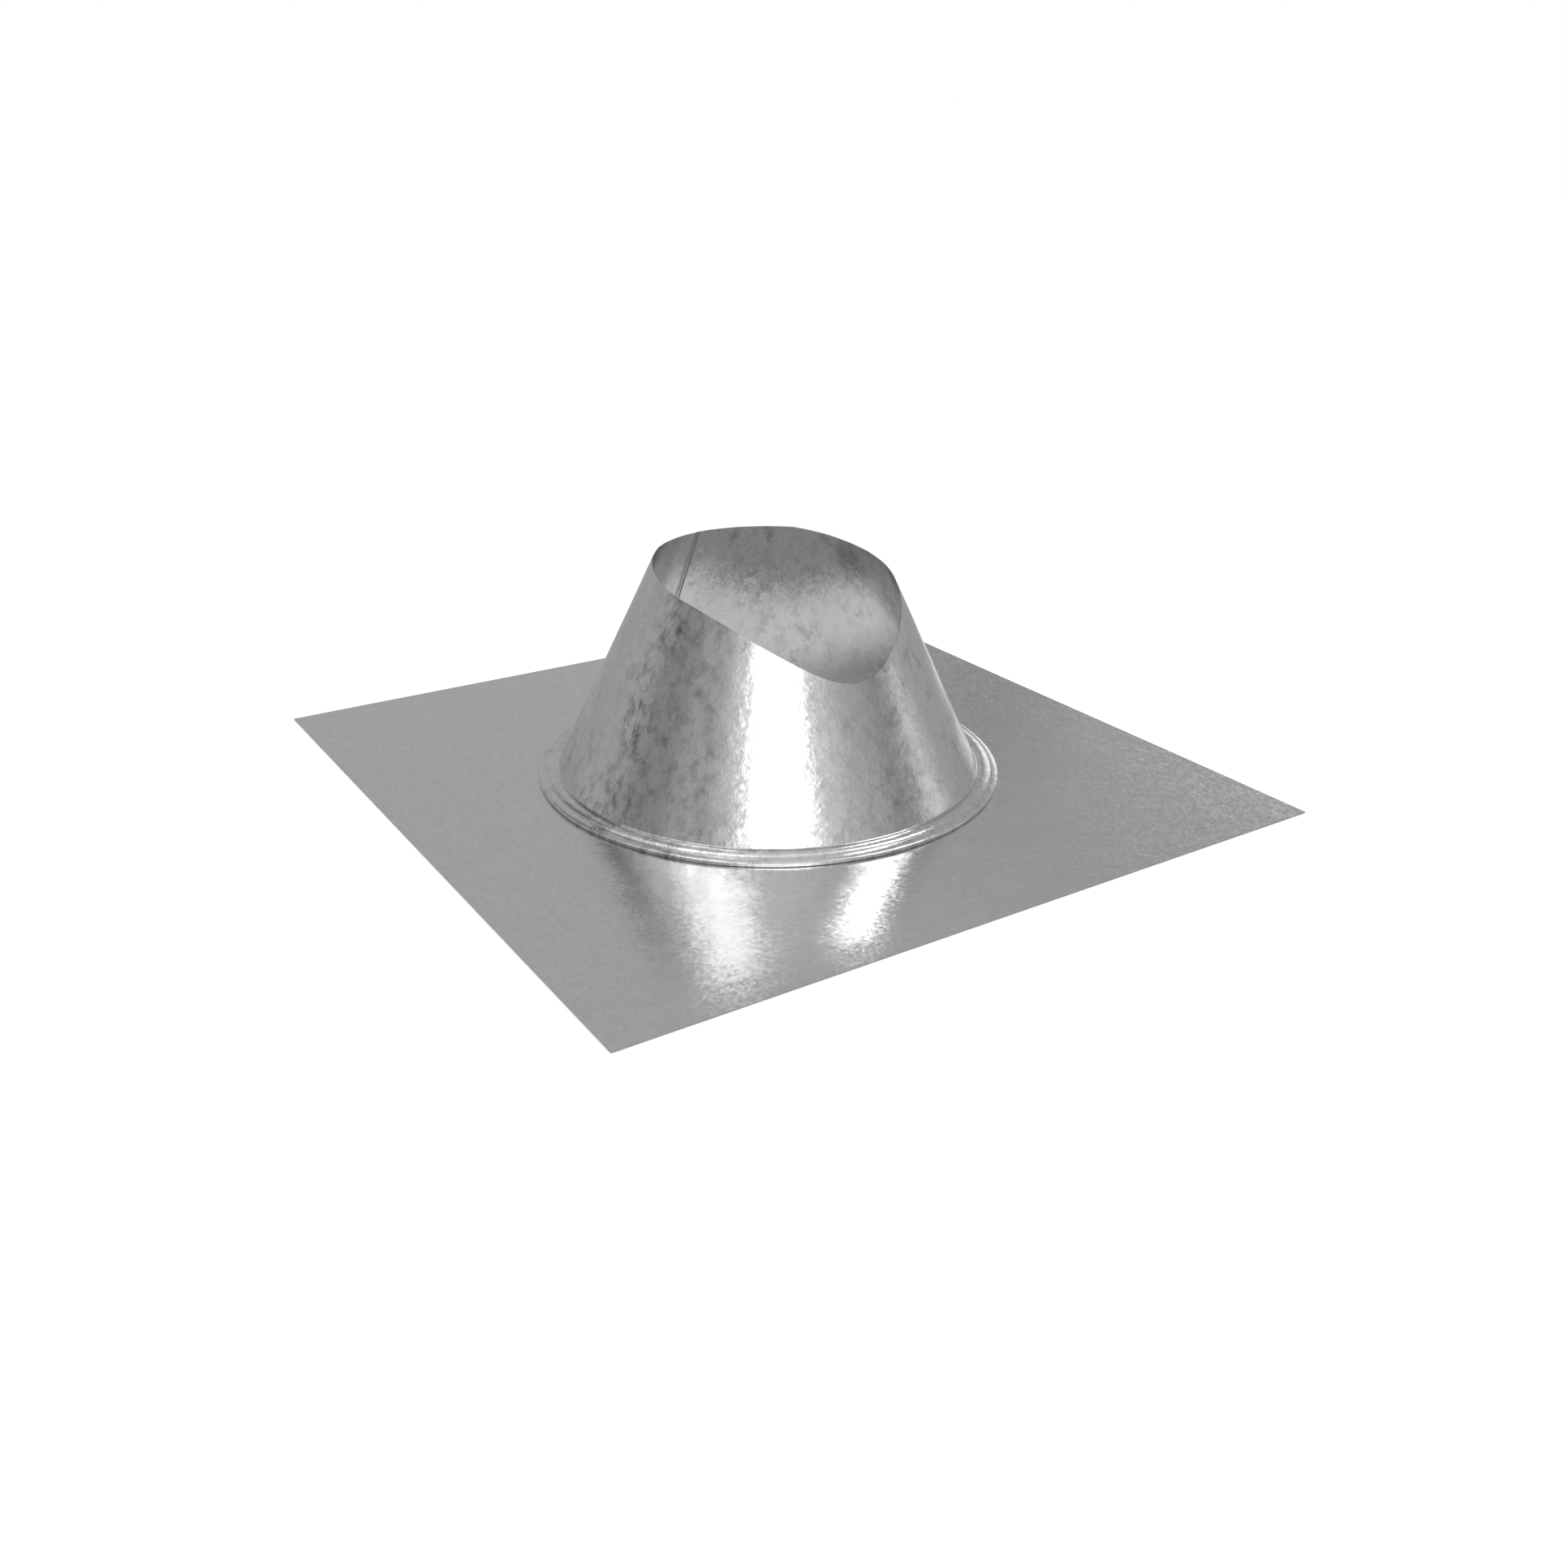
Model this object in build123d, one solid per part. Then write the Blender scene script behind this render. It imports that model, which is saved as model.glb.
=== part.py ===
from build123d import *
import math
import os

# Adjustable-pitch roof flashing for a round vent pipe, in galvanised sheet steel.
# Millimetres, +Z up. The origin is the centre of the base plate's underside.
# The collar's opening is cut low on the -Y side and is full height on the +Y side.

# Driving dimensions
PLATE_SIDE = 520.0  # square base plate
SHEET = 0.55  # 26-gauge sheet, both pieces
LAYER_GAP = 0.08  # air between sheets that lie on each other
TOP_HEIGHT = 152.6  # level part of the collar's rim
TOP_RADIUS = 77.7  # outside radius there, for a 152 mm (6 in) pipe
HALF_ANGLE = 25.4  # the wall's angle from vertical, degrees
TILT_RADIUS = 141.5  # low part of the rim, about the X axis at plate level
SHOULDER_SLOPE = 9.5  # the rim's straight run between the two, degrees

# Wall foot and lock seam, radii and heights of the collar's outer face
FOOT_HEIGHT = 5.7  # crease between wall and foot flange
FOOT_FILLET = 0.8
CREST = (151.8, 6.9)  # top of the flange's rounded ridge
CREST_FILLET = 9.0
LIP = (162.2, 2.9)  # where the flange folds down
LIP_FILLET = 1.4
HEM_LEVEL = SHEET + LAYER_GAP  # underside of the folded-back hem, which lies on the plate
HOOK_END = 153.0  # inner end of the hem
FOLD_FILLET = 0.85  # outside of the tight folds

# Base plate's edge inside the lock seam
HOLE_RADIUS = 147.1  # the plate's clear hole, where its edge turns up and curls outwards
CURL_END = 1.45  # height of the curl's free edge, just above the collar's hem
DISC_RADIUS = 170.0  # round part of the plate that carries the curled edge

# Lap seam of the collar, degrees about +Z, at the high side
LAP_START = 89.0  # free edge of the outer layer
LAP_END = 97.0  # end edge of the inner layer
JOGGLE_START = 97.4
JOGGLE_END = 100.4
LAP_BASE = 8.2  # the outer layer is notched away below this height
WELD_RADIUS = 2.5
WELD_PITCH = 24.5
WELD_COUNT = 5
WELD_LOWEST = 37.0

# Sizes of the solids that cut others, chosen to reach past the collar
OVERSHOOT = 12.0  # wall above the rim's top before the rim is cut
ARC_END = 118.0  # -Y end of the low rim's arc, outside the wall
CUTTER_REACH = 200.0
ELECTRODE_LENGTH = 8.0

TAN_WALL = math.tan(math.radians(HALF_ANGLE))
COS_WALL = math.cos(math.radians(HALF_ANGLE))
LAYER_STEP = SHEET + LAYER_GAP
WALL_TOP = TOP_HEIGHT + OVERSHOOT


def wall_radius(height):
    """Outside radius of the straight conical wall at a height."""
    return TOP_RADIUS + (TOP_HEIGHT - height) * TAN_WALL


FOOT = (wall_radius(FOOT_HEIGHT), FOOT_HEIGHT)


def layer_inside(before, corner, after):
    """Corner of the layer that lies inside a bend, one layer step to the right of the path."""
    normals = []
    for start, end in [(before, corner), (corner, after)]:
        length = math.dist(start, end)
        normals.append(((end[1] - start[1]) / length, (start[0] - end[0]) / length))
    (ax, ay), (bx, by) = normals
    shift = LAYER_STEP / (1 + ax * bx + ay * by)
    return (corner[0] + (ax + bx) * shift, corner[1] + (ay + by) * shift)


def sheet_section(points, radii):
    """Section of a bent sheet: its visible face as a path, thickened to the path's right."""
    path = FilletPolyline(*points, radius=radii)
    outline = path.offset_2d(SHEET, side=Side.RIGHT, closed=True)
    return Plane.XZ * make_face(outline)


def wall_band(inside, outside):
    """Section along the wall above the lap's base, between two distances out from its outer face."""
    corners = [
        (wall_radius(height) + distance / COS_WALL, height)
        for distance, height in [
            (inside, LAP_BASE), (outside, LAP_BASE), (outside, WALL_TOP), (inside, WALL_TOP)
        ]
    ]
    return Plane.XZ * make_face(Polyline(*corners, close=True))


def turned(section, start, end):
    """The section revolved about +Z between two angles."""
    solid = revolve(section, axis=Axis.Z, revolution_arc=end - start)
    return Rot(0, 0, start) * solid


def collar_section():
    """Whole collar section: conical wall, foot flange with its ridge, and the hem folded under."""
    points = [
        (wall_radius(WALL_TOP), WALL_TOP),
        FOOT,
        CREST,
        LIP,
        (LIP[0], HEM_LEVEL),
        (HOOK_END, HEM_LEVEL),
    ]
    return sheet_section(points, [FOOT_FILLET, CREST_FILLET, LIP_FILLET, FOLD_FILLET])


def above_rim():
    """Everything above the collar's rim, as seen from the side and drawn out along X."""
    slope = math.radians(SHOULDER_SLOPE)
    tangent = (-TILT_RADIUS * math.sin(slope), TILT_RADIUS * math.cos(slope))
    shoulder = (tangent[0] + (TOP_HEIGHT - tangent[1]) / math.tan(slope), TOP_HEIGHT)
    low = (-ARC_END, math.sqrt(TILT_RADIUS**2 - ARC_END**2))
    rim = Line((CUTTER_REACH, TOP_HEIGHT), shoulder) + Line(shoulder, tangent)
    rim += RadiusArc(tangent, low, -TILT_RADIUS)
    rim += Polyline(
        low,
        (-CUTTER_REACH, low[1]),
        (-CUTTER_REACH, CUTTER_REACH),
        (CUTTER_REACH, CUTTER_REACH),
        (CUTTER_REACH, TOP_HEIGHT),
    )
    return extrude(Plane.YZ * make_face(rim), amount=CUTTER_REACH, both=True)


def cone_collar():
    """Collar rolled from one sheet, its ends lapped at the high side, its foot a closed ring."""
    slot = turned(wall_band(-2 * SHEET, SHEET), LAP_END, JOGGLE_END)
    ring = turned(collar_section(), 0, 360) - slot
    outer_layer = wall_band(LAYER_GAP, LAYER_STEP)
    tab = turned(outer_layer, LAP_START, JOGGLE_START)
    joggle = loft([Rot(0, 0, JOGGLE_START) * outer_layer, Rot(0, 0, JOGGLE_END) * wall_band(-SHEET, 0)])
    return (ring + tab + joggle) - above_rim()


def base_plate():
    """Square sheet with a round hole, whose edge is turned up and curled outwards under the flange."""
    under_crest = layer_inside(FOOT, CREST, LIP)
    under_lip = layer_inside(CREST, LIP, (LIP[0], 0))
    flange_slope = (CREST[1] - FOOT[1]) / (CREST[0] - FOOT[0])
    points = [
        (DISC_RADIUS, 0),
        (HOLE_RADIUS, 0),
        (HOLE_RADIUS, under_crest[1] - (under_crest[0] - HOLE_RADIUS) * flange_slope),
        under_crest,
        under_lip,
        (under_lip[0], CURL_END),
    ]
    fillets = [FOLD_FILLET, FOLD_FILLET, CREST_FILLET - LAYER_STEP, LIP_FILLET - LAYER_STEP]
    section = sheet_section(points, fillets)
    flat = extrude(Rectangle(PLATE_SIDE, PLATE_SIDE) - Circle(DISC_RADIUS), amount=SHEET)
    return flat + turned(section, 0, 360)


def seam_welds():
    """Row of spot-weld nuggets that fill the gap between the lap's two layers."""
    gap = turned(wall_band(0, LAYER_GAP), LAP_START, LAP_END)
    nuggets = []
    for index in range(WELD_COUNT):
        height = WELD_LOWEST + index * WELD_PITCH
        place = Location((wall_radius(height), 0, height), (0, 90 - HALF_ANGLE, 0))
        electrode = Rot(0, 0, (LAP_START + LAP_END) / 2) * place * Cylinder(WELD_RADIUS, ELECTRODE_LENGTH)
        nuggets.append((gap & electrode).solid())
    return Compound(nuggets)


os.makedirs("parts", exist_ok=True)
export_step(base_plate(), "parts/base_plate.step")
export_step(cone_collar(), "parts/cone_collar.step")
export_step(seam_welds(), "parts/seam_spot_welds.step")
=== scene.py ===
import math

import bmesh
import bpy
import numpy as np
from mathutils import Matrix, Vector


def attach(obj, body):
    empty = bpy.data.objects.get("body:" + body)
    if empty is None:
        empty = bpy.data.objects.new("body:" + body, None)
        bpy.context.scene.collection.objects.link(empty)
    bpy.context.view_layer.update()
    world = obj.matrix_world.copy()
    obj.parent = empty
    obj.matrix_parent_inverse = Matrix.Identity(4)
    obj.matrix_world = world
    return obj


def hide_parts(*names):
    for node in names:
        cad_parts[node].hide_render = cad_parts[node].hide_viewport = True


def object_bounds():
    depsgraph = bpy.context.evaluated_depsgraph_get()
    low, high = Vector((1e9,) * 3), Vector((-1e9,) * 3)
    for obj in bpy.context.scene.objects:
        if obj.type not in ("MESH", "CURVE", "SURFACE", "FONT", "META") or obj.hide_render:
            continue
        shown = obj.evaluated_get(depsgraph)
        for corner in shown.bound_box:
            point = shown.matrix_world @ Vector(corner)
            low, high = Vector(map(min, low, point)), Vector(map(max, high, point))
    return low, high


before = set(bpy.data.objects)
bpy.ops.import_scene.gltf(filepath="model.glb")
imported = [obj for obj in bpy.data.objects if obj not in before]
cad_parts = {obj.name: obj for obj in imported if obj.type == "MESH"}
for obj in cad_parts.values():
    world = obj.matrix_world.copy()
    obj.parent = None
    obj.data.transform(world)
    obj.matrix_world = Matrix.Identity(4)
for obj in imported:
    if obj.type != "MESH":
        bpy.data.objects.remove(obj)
cad_low, cad_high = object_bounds()

# Sizes in metres, and angles in degrees unless they are converted here, as the CAD model has them
SHEET = 0.00055
LAYER_STEP = 0.00063  # one sheet and the air under it
HALF_SIDE = cad_high.x
TOP_HEIGHT = cad_high.z  # level part of the collar's rim
TOP_RADIUS = 0.0777  # outside radius there
HALF_ANGLE = math.radians(25.4)  # the wall's angle from vertical
TAN_WALL = math.tan(HALF_ANGLE)
COS_WALL = math.cos(HALF_ANGLE)
TILT_RADIUS = 0.1415  # low part of the rim, about the X axis at plate level
SHOULDER_SLOPE = math.radians(9.5)  # the rim's straight run between the two


def wall_radius(height):
    """Outside radius of the conical wall at a height."""
    return TOP_RADIUS + (TOP_HEIGHT - height) * TAN_WALL


# Wall foot and lock seam, radii and heights of the collar's outer face
FOOT = (wall_radius(0.0057), 0.0057)  # crease between the wall and the foot's flange
CREST = (0.1518, 0.0069)  # top of the flange's rounded ridge
LIP = (0.1622, 0.0029)  # where the flange folds down
HEM_LEVEL = LAYER_STEP  # underside of the folded-back hem
HOOK_END = 0.1530  # inner end of the hem
COLLAR_FILLETS = [0.0008, 0.0090, 0.0014, 0.00085]  # at the foot, crest, lip and fold
GROOVE_RADIUS, GROOVE_HALF_WIDTH, GROOVE_DEPTH = 0.1572, 0.0007, 0.00035  # in the flange's face

# Base plate's edge inside the lock seam
HOLE_RADIUS = 0.1471
CURL_END = 0.00145  # height of the curl's free edge
PLATE_FILLETS = [0.00085, 0.00085, 0.00837, 0.00077]  # at the hole's two bends, the crest and the lip
DISC_RADIUS = 0.1700  # round part of the plate that carries the curled edge

# Lap seam at the high side, degrees about +Z
LAP_START, LAP_END = 89.0, 97.0  # the outer layer's free edge, the inner layer's end
JOGGLE_START, JOGGLE_END = 97.4, 100.4
LAP_BASE = 0.0082  # the outer layer is notched away below this height
WELD_HEIGHTS = [0.037 + 0.0245 * index for index in range(5)]
WELD_MARK_RADIUS = 0.0027
WELD_MARK_DEPTH = 0.00018

# Unevenness of hand-rolled and laid sheet
WALL_RIPPLES = [(0.00005, 17, 0.6), (0.00004, 29, 2.1), (0.00018, 3, 1.2)]  # size, waves round, phase
WALL_TWIST = 0.00005
WAVE_FADE = 0.03  # height above the lap's base over which the wall's waves grow to their full size
RIM_NIBBLE = 0.0001
PLATE_LIFT = 0.00022

# Rows and steps of the meshes
WALL_ROWS = 96
LAP_STEP = 0.4  # degrees, near the lap


# ---------------------------------------------------------------- camera and studio

def add_camera():
    """Camera in front of the low side, to the left of it, looking down at the collar."""
    azimuth, elevation, roll = math.radians(-33.64), math.radians(24.30), math.radians(0.67)
    distance, aside, below = 1.06194, 0.01118, -0.01467
    back = Vector((
        math.sin(azimuth) * math.cos(elevation),
        -math.cos(azimuth) * math.cos(elevation),
        math.sin(elevation),
    ))
    level = Vector((0, 0, 1)).cross(back).normalized()
    upright = back.cross(level)
    right = level * math.cos(roll) + upright * math.sin(roll)
    up = upright * math.cos(roll) - level * math.sin(roll)
    data = bpy.data.cameras.new("camera")
    data.lens = 34.17
    data.sensor_width = 36.0
    camera = bpy.data.objects.new("camera", data)
    bpy.context.scene.collection.objects.link(camera)
    turn = Matrix((right, up, back)).transposed().to_4x4()
    camera.matrix_world = Matrix.Translation(back * distance + right * aside + up * below) @ turn
    bpy.context.scene.camera = camera


def direction(azimuth, elevation):
    """Unit vector at an angle about +Z from +X and an angle above the horizon, in degrees."""
    a, e = math.radians(azimuth), math.radians(elevation)
    return Vector((math.cos(a) * math.cos(e), math.sin(a) * math.cos(e), math.sin(e)))


def softbox(name, azimuth, elevation, distance, width, height, radiance):
    """Rectangular area light that faces the collar. A one-sided lamp's power is pi x area x radiance."""
    data = bpy.data.lights.new(name, "AREA")
    data.shape = "RECTANGLE"
    data.size, data.size_y = width, height
    data.energy = math.pi * width * height * radiance
    lamp = bpy.data.objects.new(name, data)
    bpy.context.scene.collection.objects.link(lamp)
    toward = direction(azimuth, elevation)
    lamp.location = toward * distance + Vector((0, 0, TOP_HEIGHT / 2))
    lamp.rotation_mode = "QUATERNION"
    lamp.rotation_quaternion = toward.to_track_quat("Z", "Y")


def node(tree, kind, inputs=None, **settings):
    """New shader node with its settings, and its inputs set to values or linked to sockets."""
    made = tree.nodes.new(kind)
    for name, value in settings.items():
        setattr(made, name, value)
    for name, value in (inputs or {}).items():
        if isinstance(value, bpy.types.NodeSocket):
            tree.links.new(value, made.inputs[name])
        else:
            made.inputs[name].default_value = value
    return made


def math_node(tree, operation, first, second=0.0, third=0.0):
    return node(tree, "ShaderNodeMath", {0: first, 1: second, 2: third}, operation=operation).outputs[0]


def vector_node(tree, operation, first, second=(0, 0, 0)):
    return node(tree, "ShaderNodeVectorMath", {0: first, 1: second}, operation=operation).outputs[0]


def scaled(tree, vector, factor):
    made = node(tree, "ShaderNodeVectorMath", {0: vector, "Scale": factor}, operation="SCALE")
    return made.outputs[0]


# Reflected surroundings: azimuth, elevation, half-width in degrees, brightness added
WORLD_PATCHES = [
    (163, 17, 24, -0.16),
    (140, 60, 26, 0.42),
    (-44, 16, 12, -0.13),
    (-24, 5, 11, 0.42),
    (-78, 22, 18, 0.12),
    (62, 22, 34, 0.03),
    (49, 21, 5, -0.20),
    (36, 24, 14, -0.08),
    (33, 9, 15, 0.85),
    (104, 38, 16, -0.30),
    (-117, 27, 40, 0.45),
    (80, 86, 34, 0.60),
]
WORLD_GREY = 0.46
# The floor as gloss reflects it, a grey glow, then painted patches of light and shade on it: x, y, inner
# and outer reach, brightness added. The first is painted shade inside the collar's hole.
FLOOR_GREY = 0.42
FLOOR_REACH = 9.0  # radius of the floor's disc
FLOOR_DROP = 0.0002  # how far it lies below the sheet
FLOOR_PAINTED_LIGHT_AND_SHADE = [
    (0.0, 0.0, 0.120, 0.160, -0.12),
    (0.058, 0.080, 0.012, 0.055, 0.42),
    (0.014, 0.114, 0.012, 0.040, -0.16),
    (0.320, 0.140, 0.040, 0.130, 0.45),
]


def add_world():
    """Pale surroundings: white to the eye and for the floor, a soft grey room for gloss to reflect."""
    world = bpy.data.worlds.new("studio")
    world.use_nodes = True
    tree = world.node_tree
    tree.nodes.clear()
    toward = node(tree, "ShaderNodeTexCoord").outputs["Generated"]
    level = WORLD_GREY
    for azimuth, elevation, half_width, gain in WORLD_PATCHES:
        aim = direction(azimuth, elevation)
        nearness = node(
            tree, "ShaderNodeVectorMath", {0: toward, 1: aim}, operation="DOT_PRODUCT"
        ).outputs["Value"]
        patch = node(tree, "ShaderNodeMapRange", {
            "Value": nearness,
            "From Min": math.cos(math.radians(half_width)),
            "From Max": 1.0,
            "To Max": gain,
        }, interpolation_type="SMOOTHSTEP").outputs[0]
        level = math_node(tree, "ADD", patch, level)
    path = node(tree, "ShaderNodeLightPath")
    glossy = node(tree, "ShaderNodeBackground", {"Color": level, "Strength": 1.0})
    diffuse = node(tree, "ShaderNodeBackground", {"Color": (1, 1, 1, 1), "Strength": 1.15})
    seen = node(tree, "ShaderNodeBackground", {"Color": (1, 1, 1, 1), "Strength": 1.0})
    mixed = node(tree, "ShaderNodeMixShader", {
        0: path.outputs["Is Glossy Ray"], 1: diffuse.outputs[0], 2: glossy.outputs[0],
    })
    mixed = node(tree, "ShaderNodeMixShader", {
        0: path.outputs["Is Camera Ray"], 1: mixed.outputs[0], 2: seen.outputs[0],
    })
    node(tree, "ShaderNodeOutputWorld", {"Surface": mixed.outputs[0]})
    bpy.context.scene.world = world


def add_floor():
    """Plain pale floor, a disc that reaches far past the object. Gloss reflects it as a grey glow
    instead, with painted patches of light and shade.
    """
    mesh = bpy.data.meshes.new("floor")
    shape = bmesh.new()
    bmesh.ops.create_circle(shape, cap_ends=True, segments=96, radius=FLOOR_REACH)
    bmesh.ops.translate(shape, verts=shape.verts, vec=(0, 0, -FLOOR_DROP))
    shape.to_mesh(mesh)
    shape.free()
    floor = bpy.data.objects.new("floor", mesh)
    bpy.context.scene.collection.objects.link(floor)
    material = bpy.data.materials.new("floor")
    material.use_nodes = True
    tree = material.node_tree
    tree.nodes.clear()
    pale = node(tree, "ShaderNodeBsdfDiffuse", {"Color": (0.92, 0.92, 0.92, 1)})
    place = node(tree, "ShaderNodeTexCoord").outputs["Object"]
    # For glossy rays the floor is an emission: a grey glow plus patches of painted light and painted
    # shade
    level = FLOOR_GREY
    for x, y, inner, outer, gain in FLOOR_PAINTED_LIGHT_AND_SHADE:
        reach = node(
            tree, "ShaderNodeVectorMath", {0: place, 1: (x, y, 0)}, operation="DISTANCE"
        ).outputs["Value"]
        patch = node(tree, "ShaderNodeMapRange", {
            "Value": reach, "From Min": outer, "From Max": inner, "To Max": gain,
        }, interpolation_type="SMOOTHSTEP").outputs[0]
        level = math_node(tree, "ADD", patch, level)
    grey = node(tree, "ShaderNodeEmission", {"Color": level, "Strength": 1.0})
    glossy = node(tree, "ShaderNodeLightPath").outputs["Is Glossy Ray"]
    mixed = node(tree, "ShaderNodeMixShader", {0: glossy, 1: pale.outputs[0], 2: grey.outputs[0]})
    node(tree, "ShaderNodeOutputMaterial", {"Surface": mixed.outputs[0]})
    mesh.materials.append(material)


# ---------------------------------------------------------------- materials

def facing_side(tree, place, mottle_direction):
    """1 on the side of the object that faces the given direction, fading to 0 round the Z axis."""
    outward = vector_node(tree, "NORMALIZE", vector_node(tree, "MULTIPLY", place, (1, 1, 0)))
    facing = node(
        tree, "ShaderNodeVectorMath", {0: outward, 1: mottle_direction}, operation="DOT_PRODUCT"
    ).outputs["Value"]
    return node(tree, "ShaderNodeMapRange", {
        "Value": facing,
        "From Min": math.cos(math.radians(24)),
        "From Max": math.cos(math.radians(8)),
    }, interpolation_type="SMOOTHSTEP").outputs[0]


def galvanised(name, colour, roughness, ripple, mottle, stretch, mottle_direction=None):
    """Hot-dip galvanised steel: a rippled zinc skin of small crystals that lean and shine differently.

    ripple is the skin's height in metres, mottle how dark its blotches are, stretch how the pattern is
    drawn out along each axis. The mottle is strongest on the side that faces mottle_direction.
    """
    material = bpy.data.materials.new(name)
    material.use_nodes = True
    tree = material.node_tree
    tree.nodes.clear()
    place = node(tree, "ShaderNodeTexCoord").outputs["Object"]
    drawn = vector_node(tree, "MULTIPLY", place, stretch)
    stirring = node(tree, "ShaderNodeTexNoise", {"Vector": place, "Scale": 500.0, "Detail": 2.0})
    stir = scaled(tree, vector_node(tree, "SUBTRACT", stirring.outputs["Color"], (0.5, 0.5, 0.5)), 0.002)
    stirred = vector_node(tree, "ADD", drawn, stir)
    crystals = node(tree, "ShaderNodeTexVoronoi", {"Vector": stirred, "Scale": 520.0})
    cell = crystals.outputs["Color"]
    cell_value = node(tree, "ShaderNodeSeparateColor", {0: cell}).outputs[1]
    blotch = node(tree, "ShaderNodeTexNoise", {
        "Vector": drawn, "Scale": 125.0, "Detail": 6.0, "Roughness": 0.72,
    }).outputs["Fac"]
    grain = node(tree, "ShaderNodeTexNoise", {"Vector": place, "Scale": 1500.0, "Detail": 3.0})
    cloud = node(tree, "ShaderNodeTexNoise", {
        "Vector": place, "Scale": 26.0, "Detail": 4.0,
    }).outputs["Fac"]
    patchy = node(tree, "ShaderNodeMapRange", {
        "Value": cloud, "From Min": 0.42, "From Max": 0.62,
    }).outputs[0]

    waves = node(tree, "ShaderNodeBump", {"Height": cloud, "Strength": 1.0, "Distance": 0.0004})
    skin = node(tree, "ShaderNodeBump", {
        "Height": blotch, "Strength": 1.0, "Distance": ripple, "Normal": waves.outputs[0],
    })
    lean = scaled(tree, vector_node(tree, "SUBTRACT", cell, (0.5, 0.5, 0.5)), 0.04)
    fine = scaled(tree, vector_node(tree, "SUBTRACT", grain.outputs["Color"], (0.5, 0.5, 0.5)), 0.05)
    normal = vector_node(tree, "ADD", vector_node(tree, "ADD", skin.outputs[0], lean), fine)
    normal = vector_node(tree, "NORMALIZE", normal)

    dark = node(tree, "ShaderNodeMapRange", {
        "Value": blotch, "From Min": 0.46, "From Max": 0.70,
    }).outputs[0]
    mottle_strength = math_node(tree, "MULTIPLY_ADD", patchy, mottle, mottle / 4)
    if mottle_direction is not None:
        mottle_strength = math_node(tree, "MULTIPLY_ADD", facing_side(tree, place, mottle_direction), mottle, mottle_strength)
    dark = math_node(tree, "MULTIPLY", dark, mottle_strength)
    tone = math_node(tree, "SUBTRACT", math_node(tree, "MULTIPLY_ADD", cell_value, 0.08, 0.96), dark)
    tone = math_node(tree, "ADD", tone, math_node(tree, "MULTIPLY_ADD", cloud, 0.10, -0.05))
    base = scaled(tree, colour, tone)
    rough = math_node(tree, "MULTIPLY_ADD", cell_value, 0.05, roughness - 0.025)
    rough = math_node(tree, "MULTIPLY_ADD", dark, 0.3, rough)
    shader = node(tree, "ShaderNodeBsdfPrincipled", {
        "Base Color": base, "Metallic": 1.0, "Roughness": rough, "Normal": normal,
    })
    node(tree, "ShaderNodeOutputMaterial", {"Surface": shader.outputs[0]})
    return material


# ---------------------------------------------------------------- sheet-metal geometry

def layer_inside(before, corner, after):
    """Corner of the layer that lies inside a bend, one layer step to the right of the path."""
    normals = []
    for start, end in [(before, corner), (corner, after)]:
        length = math.dist(start, end)
        normals.append(((end[1] - start[1]) / length, (start[0] - end[0]) / length))
    (ax, ay), (bx, by) = normals
    shift = LAYER_STEP / (1 + ax * bx + ay * by)
    return (corner[0] + (ax + bx) * shift, corner[1] + (ay + by) * shift)


def plate_path():
    """The plate's underside from the flat inwards: the hole, and its edge curled up under the flange."""
    under_crest = layer_inside(FOOT, CREST, LIP)
    under_lip = layer_inside(CREST, LIP, (LIP[0], 0))
    flange_slope = (CREST[1] - FOOT[1]) / (CREST[0] - FOOT[0])
    return [
        (DISC_RADIUS, 0),
        (HOLE_RADIUS, 0),
        (HOLE_RADIUS, under_crest[1] - (under_crest[0] - HOLE_RADIUS) * flange_slope),
        under_crest,
        under_lip,
        (under_lip[0], CURL_END),
    ]


def filleted(points, radii, turn_step=math.radians(9)):
    """Points along a path with rounded corners, and the normal to the path's right at each."""
    points = [np.array(point) for point in points]
    places, normals = [], []

    def add(place, heading):
        places.append(place)
        normals.append((heading[1], -heading[0]))

    headings = [(b - a) / np.linalg.norm(b - a) for a, b in zip(points, points[1:])]
    add(points[0], headings[0])
    for corner, radius, before, after in zip(points[1:], radii, headings, headings[1:]):
        cross = before[0] * after[1] - before[1] * after[0]
        turn = math.atan2(cross, before @ after)
        centre_side = np.array([-before[1], before[0]]) * math.copysign(radius, turn)
        start = corner - before * radius * math.tan(abs(turn) / 2)
        centre = start + centre_side
        steps = max(4, math.ceil(abs(turn) / turn_step))
        for step in range(steps + 1):
            angle = turn * step / steps
            spin = np.array([[math.cos(angle), -math.sin(angle)], [math.sin(angle), math.cos(angle)]])
            add(centre - spin @ centre_side, spin @ before)
    add(points[-1], headings[-1])
    return np.array(places), np.array(normals)


def with_groove(places, back):
    """A flange's face and back, with the shallow crimping groove added where the face runs straight."""
    row = int(np.argmax(places[:, 0] > GROOVE_RADIUS))
    run = places[row] - places[row - 1]
    length = np.linalg.norm(run)
    middle = (GROOVE_RADIUS - places[row - 1, 0]) / run[0]
    inward = (back[row - 1] - places[row - 1]) / SHEET
    faces, backs = [], []
    for step, depth in [(-1.0, 0.0), (-0.4, 0.8), (0.0, 1.0), (0.4, 0.8), (1.0, 0.0)]:
        share = middle + step * GROOVE_HALF_WIDTH / length
        face = places[row - 1] + share * run
        faces.append(face + inward * depth * GROOVE_DEPTH)
        backs.append(face + inward * SHEET)
    return np.insert(places, row, faces, axis=0), np.insert(back, row, backs, axis=0)


def rim_height(y):
    """Height of the collar's rim above a y: level, then sloping, then round the X axis."""
    tangent_y = -TILT_RADIUS * math.sin(SHOULDER_SLOPE)
    slope = TILT_RADIUS * math.cos(SHOULDER_SLOPE) + (y - tangent_y) * math.tan(SHOULDER_SLOPE)
    arc = np.sqrt(np.maximum(TILT_RADIUS**2 - y**2, 0))
    return np.where(y < tangent_y, arc, np.minimum(slope, TOP_HEIGHT))


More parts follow.
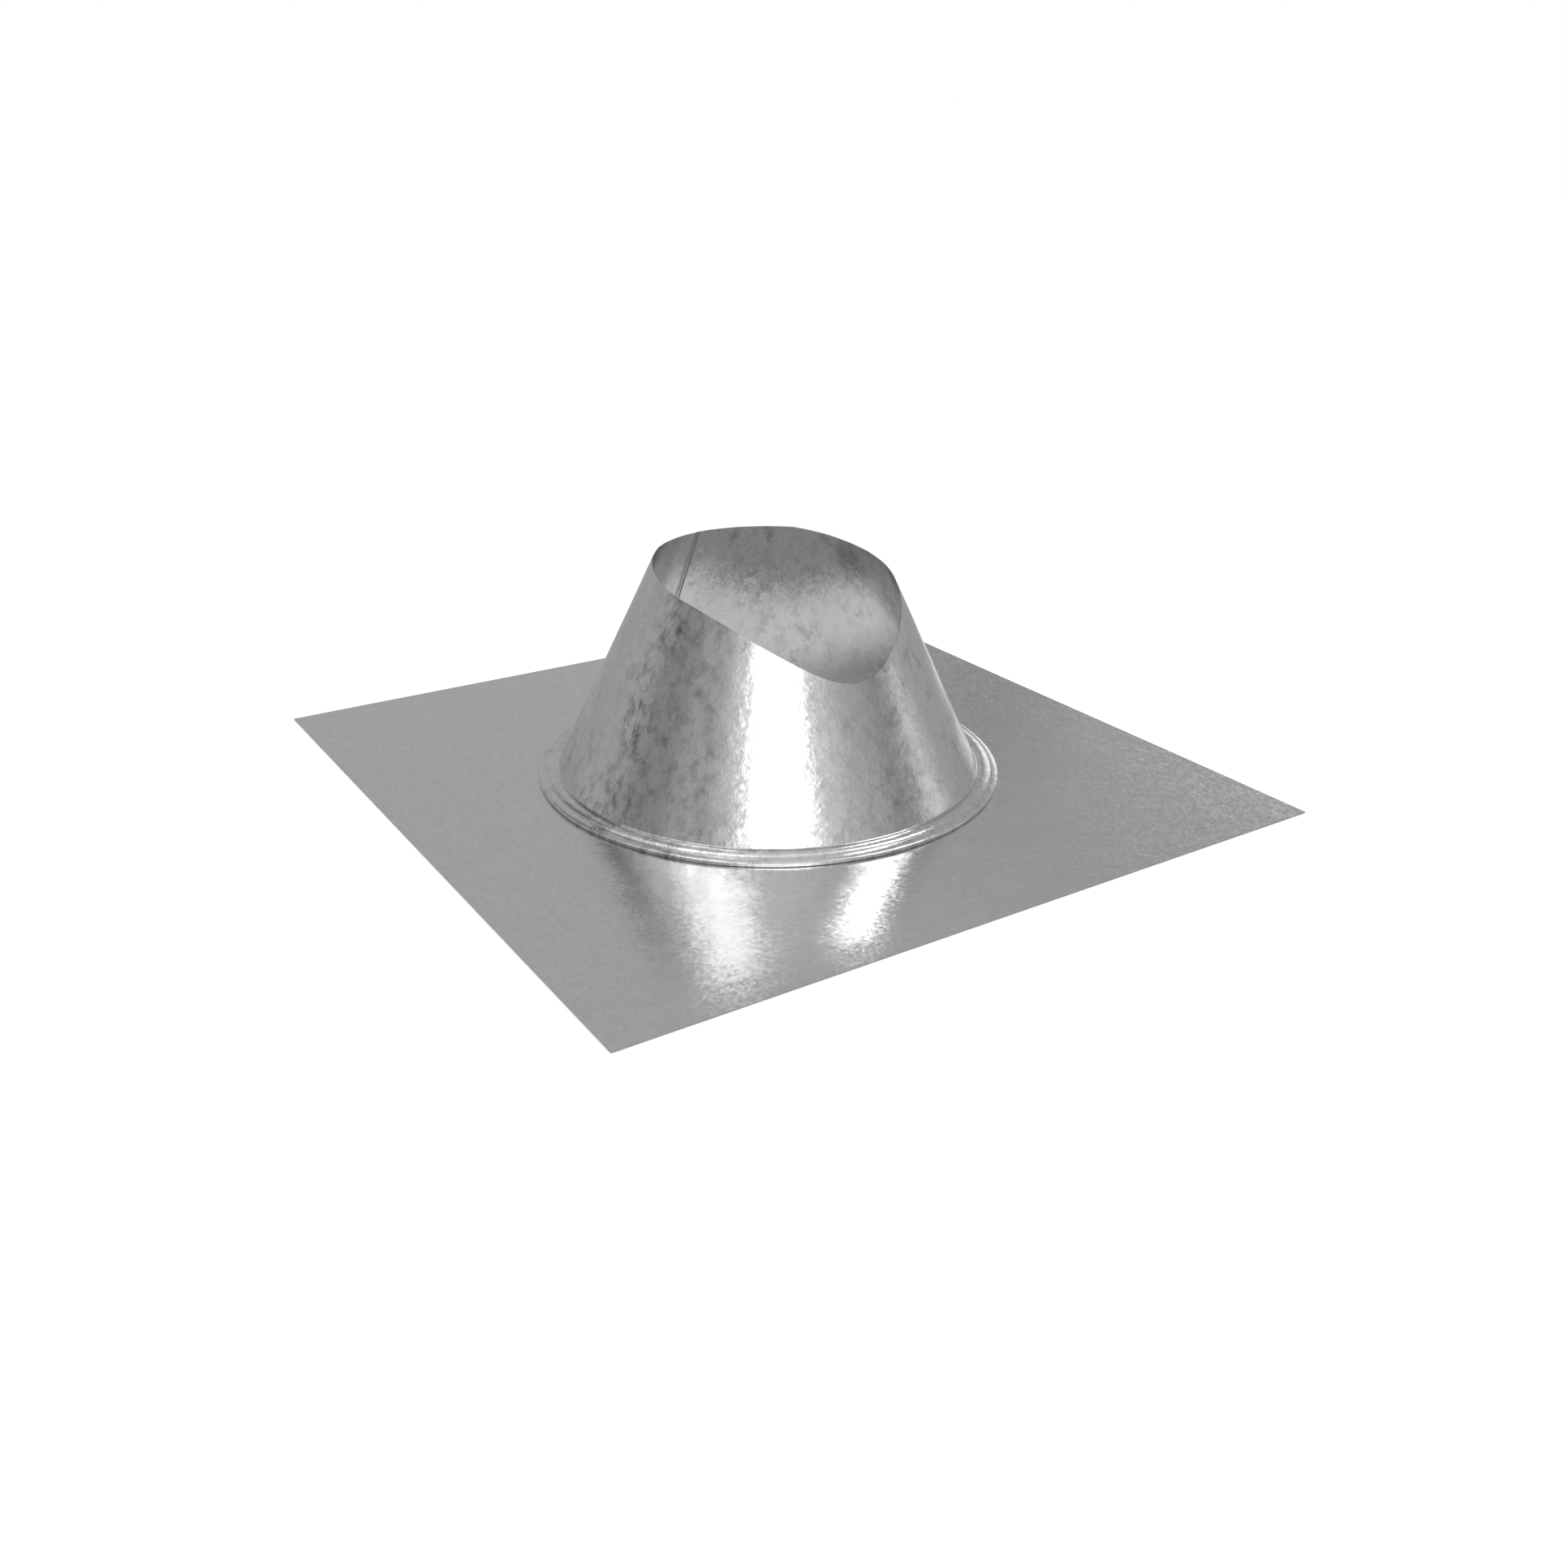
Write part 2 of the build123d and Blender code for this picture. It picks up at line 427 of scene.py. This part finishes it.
def rim_at(angles):
    """Height where the conical wall meets the rim at each angle, by bisection."""
    low = np.full(angles.shape, 0.07)
    high = np.full(angles.shape, TOP_HEIGHT + 0.001)
    for _ in range(40):
        middle = (low + high) / 2
        inside = middle < rim_height(wall_radius(middle) * np.sin(angles))
        low, high = np.where(inside, middle, low), np.where(inside, high, middle)
    return np.minimum(low, TOP_HEIGHT)


class Sheet:
    """Watertight sheet built from grids of points on its two faces. Points that coincide are joined."""

    def __init__(self):
        self.index = {}
        self.points = []
        self.cells = []

    def vertex(self, outer, inner):
        """Number of a point pair, which is shared if both its points are already there."""
        key = tuple(np.round(outer * 1e6).astype(int)) + tuple(np.round(inner * 1e6).astype(int))
        if key not in self.index:
            self.index[key] = len(self.points)
            self.points.append((outer, inner))
        return self.index[key]

    def add_grid(self, outer, inner):
        """Adds cells from columns of points on the outer face, and the points behind them."""
        ids = [[self.vertex(o, i) for o, i in zip(*column)] for column in zip(outer, inner)]
        for left, right in zip(ids, ids[1:]):
            for row in range(len(left) - 1):
                self.cells.append((left[row], right[row], right[row + 1], left[row + 1]))

    def build(self, name, material):
        """Closes the two faces along every open edge and makes the mesh object."""
        count = len(self.points)
        edges = {}
        for cell in self.cells:
            for start, end in zip(cell, cell[1:] + cell[:1]):
                edges[(start, end)] = edges.get((start, end), 0) + 1
        faces = list(self.cells) + [tuple(count + i for i in reversed(cell)) for cell in self.cells]
        faces += [
            (end, start, count + start, count + end)
            for start, end in edges
            if (end, start) not in edges
        ]
        vertices = [outer for outer, _ in self.points] + [inner for _, inner in self.points]
        mesh = bpy.data.meshes.new(name)
        mesh.from_pydata([tuple(v) for v in vertices], [], faces)
        shape = bmesh.new()
        shape.from_mesh(mesh)
        bmesh.ops.recalc_face_normals(shape, faces=shape.faces)
        shape.to_mesh(mesh)
        shape.free()
        mesh.shade_smooth()
        mesh.set_sharp_from_angle(angle=math.radians(40))
        mesh.materials.append(material)
        piece = bpy.data.objects.new(name, mesh)
        bpy.context.scene.collection.objects.link(piece)
        return piece


def swept(angles, radii, heights):
    """Points on circles about +Z: one column for each angle, one row for each radius and height."""
    columns = np.radians(angles)[:, None]
    return np.stack([radii * np.cos(columns), radii * np.sin(columns), heights + 0 * columns], axis=-1)


def wall_wave(angles, heights):
    """Slight hand-rolled unevenness of the wall, fading out at the foot."""
    turn = np.radians(angles)[:, None]
    wave = sum(size * np.sin(count * turn + phase) for size, count, phase in WALL_RIPPLES)
    wave = wave + WALL_TWIST * np.sin(9 * turn + 60 * heights)
    return wave * np.clip((heights - LAP_BASE) / WAVE_FADE, 0, 1)


def weld_dent(angles, heights):
    """Depth of the round electrode marks along the middle of the lap."""
    arc = np.radians(angles - (LAP_START + LAP_END) / 2)[:, None] * wall_radius(heights)
    depth = np.zeros(np.broadcast(arc, heights).shape)
    for height in WELD_HEIGHTS:
        slant = (heights - height) * math.hypot(1, TAN_WALL)
        distance = np.sqrt(arc**2 + slant**2) / WELD_MARK_RADIUS
        depth += WELD_MARK_DEPTH * np.clip(1.6 - 1.6 * distance**4, 0, 1)
    return depth


def collar_angles():
    """Clockwise from the inner layer's end, under the tab and once round to the joggle."""
    under_tab = np.arange(LAP_END, LAP_START - 3, -LAP_STEP)
    round_collar = np.linspace(under_tab[-1], JOGGLE_END - 360 + 2, 340)[1:]
    to_joggle = np.arange(round_collar[-1], JOGGLE_END - 360, -LAP_STEP)[1:]
    return np.concatenate([under_tab, round_collar, to_joggle, [JOGGLE_END - 360]])


def add_collar(material):
    """Collar rolled from one sheet: cone, lapped seam, foot flange with its ridge, and folded hem."""
    wall_normal = np.array((-COS_WALL, -math.sin(math.atan(TAN_WALL))))

    def wall_grid(angles, shift, dents_outside, dents_inside):
        """Wall from the rim to the lap's base, moved out by shift, with weld marks where dents are 1."""
        top = rim_at(np.radians(angles))
        nibble = (1 + np.sin(np.radians(23 * angles))) * (1 + np.sin(np.radians(7 * angles))) / 4
        top = top - RIM_NIBBLE * nibble
        share = np.linspace(0, 1, WALL_ROWS)[None, :]
        heights = top[:, None] * (1 - share) + LAP_BASE * share
        radii = wall_radius(heights) + shift[:, None] / COS_WALL + wall_wave(angles, heights)
        dent = weld_dent(angles, heights)
        sink = dents_outside * dent
        rise = SHEET - dents_inside * dent
        outer = swept(angles, radii + sink * wall_normal[0], heights + sink * wall_normal[1])
        inner = swept(angles, radii + rise * wall_normal[0], heights + rise * wall_normal[1])
        return outer, inner

    sheet = Sheet()
    main = collar_angles()
    none = np.zeros(len(main))
    sheet.add_grid(*wall_grid(main, none, 0.0, 1.0))
    joggle = np.linspace(JOGGLE_END, JOGGLE_START, 11) - 360
    ease = np.linspace(0, 1, 11)
    sheet.add_grid(*wall_grid(joggle, LAYER_STEP * ease**2 * (3 - 2 * ease), 0.0, 0.0))
    tab = np.linspace(JOGGLE_START, LAP_START, 29) - 360
    sheet.add_grid(*wall_grid(tab, np.full(29, LAYER_STEP), 1.0, 0.0))

    base = (wall_radius(LAP_BASE), LAP_BASE)
    section = [base, FOOT, CREST, LIP, (LIP[0], HEM_LEVEL), (HOOK_END, HEM_LEVEL)]
    places, normals = filleted(section, COLLAR_FILLETS)
    places, back = with_groove(places, places + SHEET * normals)
    ring = np.concatenate([main, np.linspace(JOGGLE_END, LAP_END, 11)[1:] - 360])
    sheet.add_grid(swept(ring, places[:, 0], places[:, 1]), swept(ring, back[:, 0], back[:, 1]))
    piece = sheet.build("conical_collar", material)
    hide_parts("cone_collar")
    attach(piece, "root")


def add_plate(material):
    """Square sheet with the hole's curled edge, and faint unflatness towards its outer edges."""
    places, normals = filleted(plate_path(), PLATE_FILLETS)
    back = places + SHEET * normals
    angles = np.linspace(0, 360, 361)
    sheet = Sheet()
    sheet.add_grid(swept(angles, back[:, 0], back[:, 1]), swept(angles, places[:, 0], places[:, 1]))
    turn = np.radians(angles)
    square = HALF_SIDE / np.maximum(np.abs(np.cos(turn)), np.abs(np.sin(turn)))
    share = np.linspace(0, 1, 25)
    radii = square[:, None] * (1 - share) + DISC_RADIUS * share
    x, y = radii * np.cos(turn)[:, None], radii * np.sin(turn)[:, None]
    lift = PLATE_LIFT * (1 + np.sin(11 * x + 1.1) * np.sin(13 * y + 0.4)) * (1 - share) ** 2
    top = np.stack([x, y, SHEET + lift], axis=-1)
    bottom = np.stack([x, y, lift], axis=-1)
    sheet.add_grid(top, bottom)
    piece = sheet.build("base_sheet", material)
    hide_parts("base_plate")
    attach(piece, "root")


def finish_welds(material):
    """The weld nuggets stay as the CAD model has them, between the lap's layers."""
    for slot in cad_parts["seam_spot_welds"].material_slots:
        slot.material = material


add_camera()
add_world()
add_floor()
softbox("key", -117.5, 27, 2.2, 1.26, 0.9, 2.2)
softbox("top_left", 168, 72, 2.2, 0.80, 0.80, 1.5)
softbox("top_right", -8, 58, 2.2, 0.62, 0.62, 5.0)

ZINC = (0.665, 0.665, 0.67)
DULL_STEEL = (0.42, 0.42, 0.43)
EVENLY = (1.0, 1.0, 1.0)
DRAWN_UPWARDS = (1.0, 1.0, 0.60)
# Direction of the side where the collar's blotches are darker
MOTTLE_DIRECTION = direction(-157, 0)
add_plate(galvanised("galvanised_plate", ZINC, 0.18, 0.00004, 0.06, EVENLY))
add_collar(galvanised("galvanised_collar", ZINC, 0.13, 0.00020, 0.38, DRAWN_UPWARDS, MOTTLE_DIRECTION))
finish_welds(galvanised("weld_steel", DULL_STEEL, 0.35, 0.00013, 0.2, EVENLY))

bpy.context.scene.view_settings.view_transform = "Standard"
